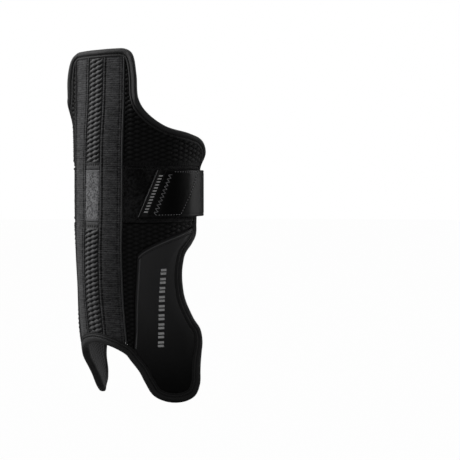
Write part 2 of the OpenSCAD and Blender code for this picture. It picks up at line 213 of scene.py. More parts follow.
def blotch(s, z, wide, tall, seed):
    # smooth repeatable noise from 0 to 1
    lattice = np.random.default_rng(seed).random((61, 67))
    x, y = s / wide + 500, z / tall + 500
    i, j = np.floor(x).astype(int), np.floor(y).astype(int)
    fx, fy = ease(x - i), ease(y - j)
    i0, i1, j0, j1 = i % 61, (i + 1) % 61, j % 67, (j + 1) % 67
    return ((lattice[i0, j0] * (1 - fx) + lattice[i1, j0] * fx) * (1 - fy)
            + (lattice[i0, j1] * (1 - fx) + lattice[i1, j1] * fx) * fy)


def hump(x, middle, half):
    return np.exp(-((x - middle) / half) ** 2)


def newMesh(name, verts, faces, uv, shade, flatFrom=None):
    mesh = bpy.data.meshes.new(name)
    mesh.from_pydata(verts.tolist(), [], faces if isinstance(faces, list) else faces.tolist())
    index = np.zeros(len(mesh.loops), int)
    mesh.loops.foreach_get("vertex_index", index)
    layer = mesh.uv_layers.new(name="cloth")
    layer.data.foreach_set("uv", uv[index].astype(np.float32).ravel())
    tone = mesh.attributes.new("shade", "FLOAT", "POINT")
    tone.data.foreach_set("value", shade.astype(np.float32))
    smooth = np.ones(len(mesh.polygons), bool)
    if flatFrom is not None:
        smooth[flatFrom:] = False
    mesh.polygons.foreach_set("use_smooth", smooth)
    mesh.update()
    piece = bpy.data.objects.new(name, mesh)
    bpy.context.scene.collection.objects.link(piece)
    return piece


def wallArrays(grid, front, back, shade, side, form=None):
    s, z = grid[..., 0] * side, grid[..., 1]
    front, back, shade = (np.broadcast_to(np.asarray(x, float), s.shape) for x in (front, back, shade))
    outer, inner = spot(s, z, front, form), spot(s, z, back, form)
    rows, cols = s.shape
    total = rows * cols
    idx = np.arange(total).reshape(rows, cols)
    quads = np.stack([idx[:-1, :-1], idx[:-1, 1:], idx[1:, 1:], idx[1:, :-1]], -1).reshape(-1, 4)
    loop = np.concatenate([idx[0, :], idx[1:, -1], idx[-1, -2::-1], idx[-2:0:-1, 0]])
    after = np.roll(loop, -1)
    skirt = np.stack([loop, loop + total, after + total, after], -1)
    faces = np.vstack([quads, quads[:, ::-1] + total, skirt])
    if side < 0:
        faces = faces[:, ::-1]
    uv = np.stack([s, z], -1).reshape(-1, 2) / 1000
    verts = np.vstack([outer.reshape(-1, 3), inner.reshape(-1, 3)])
    return verts, faces, np.vstack([uv, uv]), np.concatenate([shade.ravel(), np.full(total, 0.3)])


def makeWall(name, grid, front, back, shade, side=1, form=None):
    return newMesh(name, *wallArrays(grid, front, back, shade, side, form))


def joinArrays(parts):
    # several closed forms as one mesh
    verts, faces, uvs, shades, base = [], [], [], [], 0
    for v, f, uv, tone in parts:
        verts.append(v)
        faces.append(np.asarray(f) + base)
        uvs.append(uv)
        shades.append(tone)
        base += len(v)
    return np.vstack(verts), np.vstack(faces), np.vstack(uvs), np.concatenate(shades)


def stitchArrays(a, b, radius, tone):
    # one short thread between two points, six sided with pinched ends
    a, b = np.asarray(a), np.asarray(b)
    run = b - a
    length = np.linalg.norm(run)
    run = run / length
    helper = np.array([0.0, 0.0, 1.0]) if abs(run[2]) < 0.8 else np.array([1.0, 0.0, 0.0])
    across = np.cross(run, helper)
    across /= np.linalg.norm(across)
    over = np.cross(run, across)
    verts = []
    for part, size in ((0.0, 0.45), (0.22, 1.0), (0.78, 1.0), (1.0, 0.45)):
        for k in range(6):
            turn = k * math.pi / 3
            out = (across * math.cos(turn) + over * math.sin(turn)) * radius * size
            verts.append(a + run * length * part + out)
    faces = []
    for ring in range(3):
        for k in range(6):
            m = (k + 1) % 6
            faces.append([ring * 6 + k, ring * 6 + m, ring * 6 + 6 + m, ring * 6 + 6 + k])
    faces += [[3, 2, 1, 0], [5, 4, 3, 0], [18, 19, 20, 21], [18, 21, 22, 23]]
    verts = np.array(verts)
    return verts, np.array(faces), np.zeros((len(verts), 2)), np.full(len(verts), tone)


def stitchRow(points, dash, skip, radius, tone):
    # dashes along a line of points given in metres
    points = np.asarray(points)
    reach = np.concatenate([[0], np.cumsum(np.linalg.norm(np.diff(points, axis=0), axis=1))]) * 1000
    out, at = [], skip / 2
    while at + dash < reach[-1]:
        a = [np.interp(at, reach, points[:, c]) for c in range(3)]
        b = [np.interp(at + dash, reach, points[:, c]) for c in range(3)]
        out.append(stitchArrays(a, b, radius / 1000, tone))
        at += dash + skip
    return out


def zigzag(line, half, pitch, d, radius, side, form=None, tone=0.6):
    # a zigzag seam of thread along a line of (round, height) points
    line = np.asarray(line, float)
    reach = np.concatenate([[0], np.cumsum(np.linalg.norm(np.diff(line, axis=0), axis=1))])
    marks = np.arange(0, reach[-1], pitch / 2)
    mid = np.stack([np.interp(marks, reach, line[:, c]) for c in (0, 1)], -1)
    step = np.gradient(mid, axis=0)
    step /= np.linalg.norm(step, axis=1, keepdims=True)
    swing = np.stack([-step[:, 1], step[:, 0]], -1) * half * np.where(np.arange(len(mid)) % 2, 1, -1)[:, None]
    at = mid + swing
    places = spot(at[:, 0] * side, at[:, 1], d, form)
    return [stitchArrays(places[k], places[k + 1], radius / 1000, tone) for k in range(len(places) - 1)]


# materials
def nodeGroup(name, inputs, outputs):
    group = bpy.data.node_groups.new(name, "ShaderNodeTree")
    for label, kind, value in inputs:
        socket = group.interface.new_socket(name=label, in_out="INPUT", socket_type=kind)
        if value is not None:
            socket.default_value = value
    for label, kind in outputs:
        group.interface.new_socket(name=label, in_out="OUTPUT", socket_type=kind)
    return group, group.nodes.new("NodeGroupInput"), group.nodes.new("NodeGroupOutput")


def mathNode(tree, kind, a, b=None, c=None):
    node = tree.nodes.new("ShaderNodeMath")
    node.operation = kind
    for slot, value in enumerate((a, b, c)):
        if value is None:
            continue
        if isinstance(value, (int, float)):
            node.inputs[slot].default_value = value
        else:
            tree.links.new(value, node.inputs[slot])
    return node.outputs[0]


def evenTone(tree, value, strength):
    # darkens and lightens by the same amount round 1
    return mathNode(tree, "MULTIPLY_ADD", value, strength, 1 - strength * 0.5)


def makeWeave():
    # over and under threads on the cloth's own map; Height is the relief, Mask the thread tops
    group, into, out = nodeGroup("threadWeave", [
        ("Vector", "NodeSocketVector", None), ("Across", "NodeSocketFloat", 1000.0),
        ("Up", "NodeSocketFloat", 1000.0)], [("Height", "NodeSocketFloat"), ("Mask", "NodeSocketFloat")])
    split = group.nodes.new("ShaderNodeSeparateXYZ")
    group.links.new(into.outputs["Vector"], split.inputs[0])
    x = mathNode(group, "MULTIPLY", split.outputs[0], into.outputs["Across"])
    y = mathNode(group, "MULTIPLY", split.outputs[1], into.outputs["Up"])
    waveX = mathNode(group, "SINE", mathNode(group, "MULTIPLY", x, math.pi))
    waveY = mathNode(group, "SINE", mathNode(group, "MULTIPLY", y, math.pi))
    both = mathNode(group, "MULTIPLY", waveX, waveY)
    half = mathNode(group, "MULTIPLY_ADD", both, 0.5, 0.5)
    group.links.new(half, out.inputs["Height"])
    group.links.new(mathNode(group, "POWER", half, 1.6), out.inputs["Mask"])
    return group


def makeFuzz():
    # fine fibres over broad uneven patches
    group, into, out = nodeGroup("fibreFuzz", [
        ("Vector", "NodeSocketVector", None), ("Fine", "NodeSocketFloat", 1500.0),
        ("Broad", "NodeSocketFloat", 60.0)], [("Fine", "NodeSocketFloat"), ("Broad", "NodeSocketFloat")])
    for label, detail, rough in (("Fine", 3.0, 0.6), ("Broad", 4.0, 0.55)):
        noise = group.nodes.new("ShaderNodeTexNoise")
        noise.inputs["Detail"].default_value = detail
        noise.inputs["Roughness"].default_value = rough
        group.links.new(into.outputs["Vector"], noise.inputs["Vector"])
        group.links.new(into.outputs[label], noise.inputs["Scale"])
        group.links.new(noise.outputs["Fac"], out.inputs[label])
    return group


weaveGroup = makeWeave()
fuzzGroup = makeFuzz()


def clothMaterial(name, look):
    mat = bpy.data.materials.new(name)
    mat.use_nodes = True
    tree = mat.node_tree
    shader = tree.nodes["Principled BSDF"]
    coord = tree.nodes.new("ShaderNodeTexCoord")
    tone = tree.nodes.new("ShaderNodeAttribute")
    tone.attribute_name = "shade"
    fuzz = tree.nodes.new("ShaderNodeGroup")
    fuzz.node_tree = fuzzGroup
    fuzz.inputs["Fine"].default_value = look["fine"]
    fuzz.inputs["Broad"].default_value = look["broad"]
    tree.links.new(coord.outputs["Object"], fuzz.inputs["Vector"])
    weave = tree.nodes.new("ShaderNodeGroup")
    weave.node_tree = weaveGroup
    weave.inputs["Across"].default_value = look["across"]
    weave.inputs["Up"].default_value = look["up"]
    tree.links.new(coord.outputs["UV"], weave.inputs["Vector"])
    # how light each place is: the shade attribute, each piece's own tone with the painted highlights and
    # shade that follow its relief, then threads, fibres and uneven dye
    threads = evenTone(tree, weave.outputs["Mask"], look["threadTone"])
    fibres = evenTone(tree, fuzz.outputs["Fine"], look["fineTone"])
    dye = evenTone(tree, fuzz.outputs["Broad"], look["broadTone"])
    mix = mathNode(tree, "MULTIPLY", mathNode(tree, "MULTIPLY", tone.outputs["Fac"], threads),
                   mathNode(tree, "MULTIPLY", fibres, dye))
    ramp = tree.nodes.new("ShaderNodeMix")
    ramp.data_type = "RGBA"
    ramp.inputs["A"].default_value = (*look["dark"], 1)
    ramp.inputs["B"].default_value = (*look["light"], 1)
    tree.links.new(mix, ramp.inputs["Factor"])
    tree.links.new(ramp.outputs["Result"], shader.inputs["Base Color"])
    rough = mathNode(tree, "MULTIPLY_ADD", fuzz.outputs["Fine"], look["roughSpread"], look["rough"])
    tree.links.new(rough, shader.inputs["Roughness"])
    height = mathNode(tree, "ADD", mathNode(tree, "MULTIPLY", weave.outputs["Height"], look["threadRise"]),
                      mathNode(tree, "MULTIPLY", fuzz.outputs["Fine"], look["fineRise"]))
    bump = tree.nodes.new("ShaderNodeBump")
    bump.inputs["Strength"].default_value = look["bump"]
    bump.inputs["Distance"].default_value = look["bumpDeep"]
    tree.links.new(height, bump.inputs["Height"])
    tree.links.new(bump.outputs["Normal"], shader.inputs["Normal"])
    shader.inputs["Specular IOR Level"].default_value = look["gloss"]
    shader.inputs["Sheen Weight"].default_value = look["sheen"]
    shader.inputs["Sheen Roughness"].default_value = 0.4
    return mat


def grey(v, tint=1.03):
    return (v, v, v * tint)


plainLook = {"dark": grey(0.012), "light": grey(0.07), "fine": 1500.0, "broad": 60.0, "across": 900.0,
             "up": 900.0, "threadTone": 0.5, "fineTone": 0.5, "broadTone": 0.25, "rough": 0.65,
             "roughSpread": 0.25, "threadRise": 1.0, "fineRise": 0.6, "bump": 0.5, "bumpDeep": 0.0003,
             "gloss": 0.35, "sheen": 0.25}
looks = {
    # the centre strip's knit and the knit on the wings and calves are one black cloth: the strip's copy is
    # made far lighter, painted light, and the side copy far darker, painted shade
    "strip_mesh": {"light": grey(0.26), "dark": grey(0.002), "across": 1500.0, "up": 1500.0, "sheen": 0.35,
                   "rough": 0.5, "gloss": 0.45},
    "knit_mesh": {"light": grey(0.031), "dark": grey(0.0008), "across": 1500.0, "up": 1500.0, "sheen": 0.05,
                  "rough": 0.5, "gloss": 0.2},
    "rib_band": {"light": grey(0.2), "dark": grey(0.003), "across": 700.0, "up": 1300.0, "sheen": 0.3,
                 "broadTone": 0.35, "rough": 0.75, "gloss": 0.25},
    "loop_felt": {"light": grey(0.6), "dark": grey(0.01), "fine": 1200.0, "fineTone": 1.0,
                  "fineRise": 2.0, "threadRise": 0.2, "threadTone": 0.1, "rough": 0.85,
                  "gloss": 0.1, "sheen": 0.5, "bump": 0.8},
    "loop_fabric": {"light": grey(0.052), "dark": grey(0.001), "fine": 1100.0, "fineTone": 1.2,
                    "fineRise": 2.2, "threadRise": 0.2, "threadTone": 0.1, "rough": 0.85,
                    "gloss": 0.12, "sheen": 0.3, "bump": 0.9},
    "piping": {"light": grey(0.16), "dark": grey(0.01), "across": 1800.0, "up": 1200.0, "rough": 0.5},
    "lining": {"light": grey(0.17), "dark": grey(0.001), "across": 1400.0, "up": 1400.0, "rough": 0.8,
               "gloss": 0.15},
    "binding": {"light": grey(0.06), "dark": grey(0.002), "across": 1300.0, "up": 1700.0, "threadTone": 0.35,
                "rough": 0.5, "gloss": 0.4, "sheen": 0.2},
    "elastic": {"light": grey(0.05), "dark": grey(0.008), "across": 650.0, "up": 1300.0, "rough": 0.55,
                "gloss": 0.35, "sheen": 0.3},
    "strap_cover": {"light": grey(0.02), "dark": grey(0.0005), "fine": 700.0, "fineTone": 0.3,
                    "threadTone": 0.1, "threadRise": 0.1, "fineRise": 1.0, "rough": 0.38, "roughSpread": 0.15,
                    "gloss": 0.15, "sheen": 0.0, "bump": 0.25},
    "ankle_cover": {"light": grey(0.075), "dark": grey(0.0005), "fine": 900.0, "fineTone": 0.2,
                    "threadTone": 0.0, "threadRise": 0.0, "fineRise": 1.0, "broadTone": 0.15, "rough": 0.42,
                    "roughSpread": 0.12, "gloss": 0.2, "sheen": 0.0, "bump": 0.12},
    "label": {"light": grey(0.006), "dark": grey(0.0005), "fine": 900.0, "fineTone": 0.1, "threadTone": 0.0,
              "threadRise": 0.0, "fineRise": 0.5, "rough": 0.28, "roughSpread": 0.1, "gloss": 0.25,
              "sheen": 0.0, "bump": 0.08},
    "hook": {"light": grey(0.08), "dark": grey(0.01), "across": 1600.0, "up": 1600.0, "threadTone": 1.0,
             "threadRise": 2.0, "rough": 0.4, "bump": 0.8},
    "foam": {"light": grey(0.12), "dark": grey(0.05), "fine": 2200.0, "fineTone": 0.8, "threadTone": 0.0,
             "threadRise": 0.0, "rough": 0.85, "gloss": 0.1},
    "shield": {"light": grey(0.07), "dark": grey(0.05), "fine": 1200.0, "threadTone": 0.0, "threadRise": 0.0,
               "rough": 0.45, "sheen": 0.0},
    "thread": {"light": grey(0.6), "dark": grey(0.03), "across": 3000.0, "up": 3000.0, "rough": 0.5},
    "thread_dark": {"light": grey(0.05), "dark": grey(0.003), "across": 3000.0, "up": 3000.0, "rough": 0.5},
    "print": {"light": grey(0.92, 1.0), "dark": grey(0.8, 1.0), "fine": 900.0, "fineTone": 0.15,
              "threadTone": 0.0, "threadRise": 0.0, "rough": 0.5, "sheen": 0.0, "bump": 0.1},
}
materials = {name: clothMaterial(name, {**plainLook, **look}) for name, look in looks.items()}
print("materials:", len(materials))


def finishPiece(piece, material, body, nodes=()):
    piece.data.materials.append(materials[material])
    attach(piece, body)
    if nodes:
        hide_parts(*nodes)


sides = (("left", -1), ("right", 1))
# the fabrics run under the binding's lip, and the lining further still
tuckIn = {"skin": 1.1, "lining": 5.2}
skinIn = {"wing": layers["wingIn"] - tuckIn["skin"], "ankle": layers["ankleIn"] - tuckIn["skin"]}


def archZ(s):
    return np.array([rim(seek(0, abs(x), shape["lobeFront"], foot, skinIn["ankle"]), skinIn["ankle"])[1]
                     for x in np.atleast_1d(s)])


def topZ(s):
    return np.array([rim(seek(0, abs(x), 0, 5, skinIn["wing"]), skinIn["wing"])[1] for x in np.atleast_1d(s)])


def frontGrid(s0, s1, low, high, step):
    # low and high are heights or functions of the distance round
    cols = max(2, int(round(abs(s1 - s0) / step)))
    s = np.linspace(s0, s1, cols + 1)
    z0 = low(s) if callable(low) else np.full_like(s, low)
    z1 = high(s) if callable(high) else np.full_like(s, high)
    rows = int(round((z1 - z0).max() / step))
    v = np.linspace(0, 1, rows + 1)[:, None]
    return np.stack([np.broadcast_to(s, (rows + 1, cols + 1)), z0 * (1 - v) + z1 * v], -1)


def wingGrid(z0, step, inset):
    s0 = layers["sideStart"]
    low = seek(1, z0, 11, shape["wrist"] + 1, inset)
    crown = seek(0, s0 + 0.6, 2.5, 5, inset)
    topZ0 = rim(crown, inset)[1] + 0.6
    cols = int(100 / step)
    rows = int((topZ0 - z0) * 1.15 / step)
    return fillPatch(along((s0, z0), (s0, topZ0), rows),
                     rimRun(low, crown, inset, rows),
                     along((s0, z0), (rim(low, inset)[0], z0), cols),
                     along((s0, topZ0), rim(crown, inset), cols))


def ankleGrid(z1, step, inset):
    s0 = layers["sideStart"]
    high = seek(1, z1, shape["wrist"] - 1, shape["wrist"] + 2, inset)
    front = seek(0, s0, shape["lobeFront"], foot, inset)
    cols, rows = int(90 / step), int(180 / step)
    return fillPatch(along((s0, rim(front, inset)[1]), (s0, z1), rows),
                     rimRun(shape["heel"], high, inset, rows),
                     rimRun(front, shape["heel"], inset, cols),
                     along((s0, z1), (rim(high, inset)[0], z1), cols))


# front and top edges of the ankle cover, which the mesh beside it follows
coverLook = {
    "front": [(46.8, 79), (49.2, 104), (52, 131), (54.5, 160.5)],
    "top": [(65, 168), (88.5, 177.8)],
    "footRound": 44, "rearHigh": 189,
    "crown": 0.9, "tuck": 1.1,
    "bars": 9, "barStart": 62, "barEnd": 148.5, "barFront": 70.0, "barLean": 0.116, "barWide": 6.6,
}
ankleSkin = skinIn["ankle"]
coverHigh = seek(1, coverLook["rearHigh"], shape["wrist"] - 1, shape["wrist"] + 2, ankleSkin)
coverFoot = seek(0, coverLook["footRound"], shape["lobeFront"], foot, ankleSkin)
coverFront = np.array([rim(coverFoot, ankleSkin)] + coverLook["front"])
coverTop = np.array([coverFront[4]] + coverLook["top"] + [rim(coverHigh, ankleSkin)])

# knit mesh with lens shaped bumps
lensLook = {
    "strip": {"column": 7.4, "pitch": 5.0, "long": 10.6, "high": 4.9, "tilt": math.radians(13), "rise": 1.8},
    "wing": {"column": 7.0, "pitch": 4.9, "long": 10.4, "high": 4.8, "tilt": math.radians(2), "rise": 1.5},
}


def lenses(s, z, look):
    # 1 on the top of a lens, 0 in the gaps, and how high up the lens each place sits, which sets the painted
    # top light; odd columns are half a pitch lower
    best, lit = np.zeros_like(s), np.zeros_like(s)
    column = np.floor(s / look["column"])
    for shift in (-1, 0, 1):
        c = column + shift
        du = s - (c + 0.5) * look["column"]
        drop = (c % 2) * 0.5
        height = z - du * math.tan(look["tilt"])
        row = np.round(height / look["pitch"] - drop)
        dv = height - (row + drop) * look["pitch"]
        # pointed ends along the row, rounder across it
        away = np.abs(du / (look["long"] / 2)) ** 1.2 + np.abs(dv / (look["high"] / 2)) ** 1.5
        bump = np.maximum(0, 1 - away) ** 0.6
        lit = np.where(bump > best, 0.5 + dv / look["high"], lit)
        best = np.maximum(best, bump)
    return best, lit


def meshCloth(grid, look):
    s, z = grid[..., 0], grid[..., 1]
    bump, lensTopLight = lenses(s, z, look)
    room = edgeRoom(grid)
    inside = ease(room / 2.2)
    front = -0.75 + look["rise"] * bump**0.8 * inside - 0.7 * np.exp(-room / 0.7)
    # painted highlight on the lens tops, lighter still towards the top of each lens as if lit from above, and
    # painted shade in the gaps and where the mesh runs in at its borders
    shade = np.clip(0.01 + bump**1.3 * (0.35 + 0.95 * lensTopLight) * inside, 0, 1)
    return front, shade


stripHalf, panelGap = layers["stripHalf"], layers["side"]
stripHem = {"wide": 7.0, "holes": 6, "holeStart": -8.5, "holePitch": 3.4, "holeIn": 5.0}
wingHem = {"wide": 3.5, "rowIn": 2.2, "holePitch": 3.4}
upperLow, lowerHigh = layers["patchZ"][1] + panelGap, layers["patchZ"][0] - panelGap
for label, low, high in (("upper", upperLow, topZ), ("lower", archZ, lowerHigh)):
    grid = frontGrid(-stripHalf, stripHalf, low, high, 0.6)
    s, z = grid[..., 0], grid[..., 1]
    front, shade = meshCloth(grid, lensLook["strip"])
    fromPatch = z - upperLow if label == "upper" else lowerHigh - z
    pressed = 1 - ease((fromPatch - stripHem["wide"]) / 1.5)      # the mesh is pressed flat in its hem
    front = front * (1 - pressed) + pressed * (-0.45 - 0.5 * np.exp(-edgeRoom(grid) / 0.7))
    hole = np.zeros_like(front)
    for k in range(stripHem["holes"]):
        across = s - stripHem["holeStart"] - stripHem["holePitch"] * k
        hole += np.exp(-((across / 0.9) ** 2 + ((fromPatch - stripHem["holeIn"]) / 1.3) ** 2))
    front = front - 0.7 * hole * pressed
    felted = (0.2 + 0.25 * blotch(s, z, 1.2, 1.2, 6)) * (1 - np.clip(1.3 * hole, 0, 1))
    shade = shade * (1 - pressed) + pressed * felted
    piece = makeWall("centreMesh_" + label, grid, front, -layers["skin"], shade)
    finishPiece(piece, "strip_mesh", "guard", ["centre_mesh_" + label])



def calfGrid():
    # a bent strip: down the front of the ankle cover and back over its top
    inset = ankleSkin
    z1 = layers["loopZ"][0] - panelGap
    high = seek(1, z1, shape["wrist"] - 1, shape["wrist"] + 2, inset)
    low = seek(1, coverTop[3][1] + 1.5, shape["wrist"] - 1, shape["wrist"] + 2, inset)
    start = seek(0, layers["sideStart"], shape["lobeFront"], foot, inset)
    near = seek(0, coverFront[0][0] - panelGap, shape["lobeFront"], foot, inset)
    corner = np.array([layers["sideStart"], z1])
    turn = 7 / 12                                            # both long edges turn the corner here
    v = np.linspace(0, 1, 241)
    down = (v < turn)[:, None]
    part = np.clip(v / turn, 0, 1)
    rest = np.clip((v - turn) / (1 - turn), 0, 1)
    outer = np.where(down, rim(start, inset) * (1 - part[:, None]) + corner * part[:, None],
                     corner * (1 - rest[:, None]) + rim(high, inset) * rest[:, None])
    shift = np.stack([-panelGap + 0 * v, panelGap * part], -1)
    inner = np.where(down, through(coverFront, 4 * part) + shift, through(coverTop, 3 * rest) + (0, 1.5))
    return fillPatch(outer, inner, rimRun(start, near, inset, 26), rimRun(high, low, inset, 26))


def finishKnit(kind, label, way, grid, front, shade):
    piece = makeWall(kind + "Mesh_" + label, grid, front, -layers["skin"], shade, way)
    finishPiece(piece, "knit_mesh", "guard", [kind + "_mesh_" + label])


for label, way in sides:
    grid = wingGrid(layers["loopZ"][1] + panelGap, 0.85, skinIn["wing"])
    s, z = grid[..., 0], grid[..., 1]
    front, shade = meshCloth(grid, lensLook["wing"])
    fromPanel = z - layers["loopZ"][1]
    pressed = 1 - ease((fromPanel - wingHem["wide"]) / 2)
    holes = np.exp(-(((fromPanel - wingHem["rowIn"]) / 0.9) ** 2))
    holes = holes * (np.cos(2 * math.pi * s / wingHem["holePitch"]) > 0.1)
    front = front * (1 - pressed) + pressed * (-0.5 + 0.25 * blotch(s, z, 1.3, 1.1, 5) - 0.4 * holes)
    shade = shade * (1 - pressed) + pressed * 0.5 * (1 - holes)
    finishKnit("wing", label, way, grid, front, shade)
    grid = calfGrid()
    front, shade = meshCloth(grid, lensLook["wing"])
    finishKnit("calf", label, way, grid, front, shade)
print("knit meshes done")

# ribbed bands beside the strip, with folded inner edges
cordLook = {"twist": 2.2, "deep": -1.3, "rise": 2.0, "twistRise": 0.16, "tone": 0.75}
ribLook = {"pitch": 2.3, "rise": 0.28, "fold": 1.3, "channel": 3.6, "outerChannel": 3.0, "stitch": 2.9}
for label, way in sides:
    a, b = stripHalf + panelGap, layers["bandEnd"]
    grid = frontGrid(a, b, archZ, topZ, 0.55)
    s, z = grid[..., 0], grid[..., 1]
    rib = 0.5 + 0.5 * np.sin(2 * math.pi * (z + 0.25 * blotch(s, z, 6, 9, 3)) / ribLook["pitch"])
    slub = blotch(s, z, 7.0, 0.9, 11 + way)
    room = edgeRoom(grid)
    inner = s - a
    front = -0.35 + ribLook["rise"] * rib + 0.10 * slub - 0.8 * np.exp(-room / 0.6)
    front += 0.45 * hump(inner, ribLook["fold"], 0.9) - 0.75 * hump(inner, ribLook["channel"], 0.55)
    outer = b - s
    front += 0.25 * hump(outer, 1.2, 0.8) - 0.3 * hump(outer, ribLook["outerChannel"], 0.6)
    pricks = 0.5 + 0.5 * np.cos(2 * math.pi * z / ribLook["stitch"])      # needle holes of the seams
    grain = blotch(s, z, 1.3, 0.8, 13 + way)
    shade = -0.05 + 0.3 * rib * (0.4 + slub) + 0.2 * slub + 0.45 * grain
    # painted highlight along the folded inner edge and painted shade in the seam channel beside it, with the
    # needle holes darker still
    shade += 0.2 * hump(inner, ribLook["fold"], 0.6)
    shade -= 0.7 * (0.3 + 0.7 * pricks) * hump(inner, ribLook["channel"], 0.7)
    shade -= 0.4 * pricks * hump(outer, ribLook["outerChannel"], 0.7)
    shade += 0.12 * (blotch(s, z, 14, 30, 21) - 0.5)
    piece = makeWall("ribBand_" + label, grid, front, -layers["skin"], np.clip(shade, 0.02, 1), way)
    finishPiece(piece, "rib_band", "guard", ["rib_band_" + label])

    # corded seam at the band's outer edge
    a, b = layers["bandEnd"] + panelGap, layers["sideStart"] - panelGap
    grid = frontGrid(a, b, lambda x: archZ(x) - 0.6, lambda x: topZ(x) + 0.6, 0.25)[::2]
    s, z = grid[..., 0], grid[..., 1]
    across = (s - (a + b) / 2) / ((b - a) / 2)
    twist = 0.5 + 0.5 * np.sin(2 * math.pi * (z / cordLook["twist"] + 0.35 * across))
    swell = 1 - across**2
    front = cordLook["deep"] + cordLook["rise"] * np.sqrt(np.maximum(0, swell))
    front = front + cordLook["twistRise"] * twist * swell
    # painted highlight along the cord's crown, falling off to shade at its sides, and lighter on each crest
    # of the twist
    shade = 0.12 + cordLook["tone"] * np.maximum(0, swell) * (0.65 + 0.35 * twist)
    piece = makeWall("seamPiping_" + label, grid, front, -layers["skin"], shade, way)
    finishPiece(piece, "piping", "guard", ["seam_piping_" + label])
print("bands and seams done")

# loop pile: grey patch on the shin, dark panels under the strap
feltLook = {"tuft": 1.1, "clump": 3.0, "rise": 0.5, "hem": 2.6, "hemRise": 0.2, "hemTone": 0.36, "tone": 0.9}
grid = frontGrid(-stripHalf, stripHalf, *layers["patchZ"], 0.6)
s, z = grid[..., 0], grid[..., 1]
room = edgeRoom(grid)
tufts = blotch(s, z, feltLook["tuft"], feltLook["tuft"], 31)
pile = tufts * 0.85 + blotch(s, z, feltLook["clump"], feltLook["clump"], 32) * 0.15
fromEnd = np.minimum(layers["patchZ"][1] - z, z - layers["patchZ"][0])
ledge = 1 - ease((fromEnd - feltLook["hem"]) / 0.8)           # smooth folded band at each end
front = 0.05 + feltLook["rise"] * pile * (1 - ledge) + feltLook["hemRise"] * ledge - np.exp(-room / 0.6)
shade = feltLook["tone"] * pile * (1 - ledge) + feltLook["hemTone"] * ledge
piece = makeWall("frontLoopPatch", grid, front, -layers["skin"], shade)
finishPiece(piece, "loop_felt", "guard", ["front_loop_patch"])

panelLook = {"tuft": 1.3, "clump": 3.2, "rise": 0.5, "joinStart": 47, "joinTop": 251, "joinSlant": 0.42,
             "topSeam": 2.6, "bottomSeam": 3.4}
for label, way in sides:
    inset = skinIn["wing"]
    low = seek(1, layers["loopZ"][0], 11, shape["wrist"] + 1, inset)
    high = seek(1, layers["loopZ"][1], 11, shape["wrist"], inset)
    s0 = layers["sideStart"]
    rows, cols = 62, 100
    z0, z1 = layers["loopZ"]
    grid = fillPatch(along((s0, z0), (s0, z1), rows),
                     rimRun(low, high, inset, rows),
                     along((s0, z0), (rim(low, inset)[0], z0), cols),
                     along((s0, z1), (rim(high, inset)[0], z1), cols))
    s, z = grid[..., 0], grid[..., 1]
    tufts = blotch(s, z, panelLook["tuft"], panelLook["tuft"], 41)
    pile = tufts * 0.8 + blotch(s, z, panelLook["clump"], panelLook["clump"], 42) * 0.2
    room = edgeRoom(grid)
    join = (s - panelLook["joinStart"]) - (panelLook["joinTop"] - z) * panelLook["joinSlant"]
    smooth = ease(1 - np.abs(join - 6) / 14) * ease((z - 222) / 8)        # the pile lies flat beside the join
    front = -0.55 + panelLook["rise"] * pile * (1 - 0.7 * smooth)
    front = front - 0.9 * np.exp(-room / 0.7) - 0.25 * hump(join, 0, 0.7)
    shade = -0.1 + 1.3 * pile * (1 - 0.6 * smooth) + 0.1 * smooth
    piece = makeWall("loopPanel_" + label, grid, front, -layers["skin"], np.clip(shade, 0, 1), way)
    finishPiece(piece, "loop_fabric", "guard", ["loop_panel_" + label])
    seamTop, seamLow = z1 - panelLook["topSeam"], z0 + panelLook["bottomSeam"]
    top = zigzag([(s0 + 2, seamTop), (rim(high, inset)[0] - 2, seamTop)],
                 1.0, 2.0, 0.05, 0.22, way, tone=0.35)
    bottom = zigzag([(s0 + 2, seamLow), (rim(low, inset)[0] - 2, seamLow)],
                    1.2, 2.0, 0.05, 0.24, way, tone=0.5)
    thread = newMesh("loopPanelThread_" + label, *joinArrays(top + bottom))
    finishPiece(thread, "thread_dark", "guard")
print("loop pile done")

